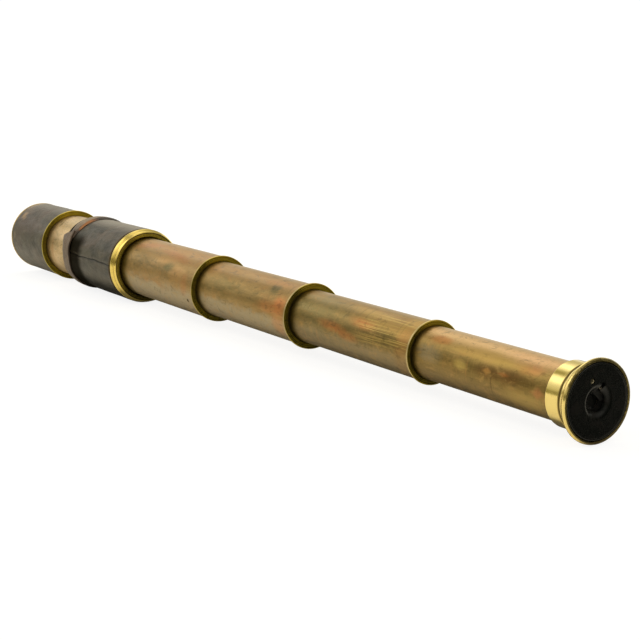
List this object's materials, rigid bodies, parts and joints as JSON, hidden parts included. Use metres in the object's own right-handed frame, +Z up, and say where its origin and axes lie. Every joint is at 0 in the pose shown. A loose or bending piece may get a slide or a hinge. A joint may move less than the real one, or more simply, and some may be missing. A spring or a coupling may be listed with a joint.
{
  "type": "draw telescope",
  "caption": "Leather-covered brass hand telescope with nested sliding draw tubes, a sliding sunshade, a flared eyepiece and a swinging eye shutter.",
  "frame": {"origin": "on the optical axis at the middle of the barrel's plain leather grip, where a stand's ring holds it", "axes": "+X along the optical axis out of the objective, +Z up, +Y to the user's left when looking through the eyepiece"},
  "size_m": [0.7108, 0.0584, 0.0584],
  "materials": {
    "polished_brass": "bright polished turned brass",
    "tarnished_brass": "worn satin brass with brown, coppery and green tarnish",
    "dark_brass": "dark olive antique brass",
    "blackened_brass": "matt optical black over brass",
    "leather": "old dark smooth leather with a soft sheen",
    "band_leather": "worn brown leather strip",
    "black_eye_disc": "semi-gloss black turned disc",
    "lens_glass": "clear polished glass"
  },
  "bodies": {
    "barrel": {"barrel_tube": "tarnished_brass", "barrel_leather": "leather", "keeper_band": "band_leather", "barrel_end_ring": "polished_brass", "objective_cell": "dark_brass", "objective_crown_lens": "lens_glass", "objective_spacer": "dark_brass", "objective_flint_lens": "lens_glass", "objective_retaining_ring": "dark_brass"},
    "sunshade": {"sunshade_tube": "tarnished_brass", "sunshade_leather": "leather", "sunshade_rear_ring": "dark_brass", "sunshade_front_ring": "dark_brass"},
    "draw1": {"draw1_tube": "tarnished_brass", "draw1_stop_ring": "dark_brass", "draw1_collar": "dark_brass", "draw1_collar_screw": "dark_brass"},
    "draw2": {"draw2_tube": "tarnished_brass", "draw2_stop_ring": "dark_brass", "draw2_collar": "dark_brass"},
    "draw3": {"draw3_tube": "tarnished_brass", "draw3_stop_ring": "dark_brass", "draw3_collar": "dark_brass"},
    "draw4": {"draw4_tube": "tarnished_brass", "draw4_stop_ring": "dark_brass", "erector_tube": "dark_brass", "erector_lens_front": "lens_glass", "erector_lens_rear": "lens_glass", "erector_ring_front": "dark_brass", "erector_ring_rear": "dark_brass", "erector_stop": "blackened_brass", "eyepiece_bell": "polished_brass", "eyepiece_lens_tube": "blackened_brass", "field_lens": "lens_glass", "field_lens_ring": "dark_brass", "field_stop": "blackened_brass", "eye_lens": "lens_glass", "eye_lens_ring": "dark_brass", "eyecup_disc": "black_eye_disc", "shutter_pivot_screw": "dark_brass"},
    "shutter": {"shutter_blade": "blackened_brass", "shutter_knob": "blackened_brass"}
  },
  "joints": [
    {"name": "sunshade_slide", "type": "slide", "parent": "barrel", "child": "sunshade", "axis": [1, 0, 0], "range_m": [-0.042, 0]},
    {"name": "draw1_slide", "type": "slide", "parent": "barrel", "child": "draw1", "axis": [1, 0, 0], "range_m": [0, 0.118]},
    {"name": "draw2_slide", "type": "slide", "parent": "draw1", "child": "draw2", "axis": [1, 0, 0], "range_m": [0, 0.1175]},
    {"name": "draw3_slide", "type": "slide", "parent": "draw2", "child": "draw3", "axis": [1, 0, 0], "range_m": [0, 0.12]},
    {"name": "draw4_slide", "type": "slide", "parent": "draw3", "child": "draw4", "axis": [1, 0, 0], "range_m": [0, 0.1033]},
    {"name": "eye_shutter", "type": "hinge", "parent": "draw4", "child": "shutter", "pos_m": [-0.5302, 0.00375, 0.00968], "axis": [1, 0, 0], "range_deg": [-13, 36]}
  ]
}
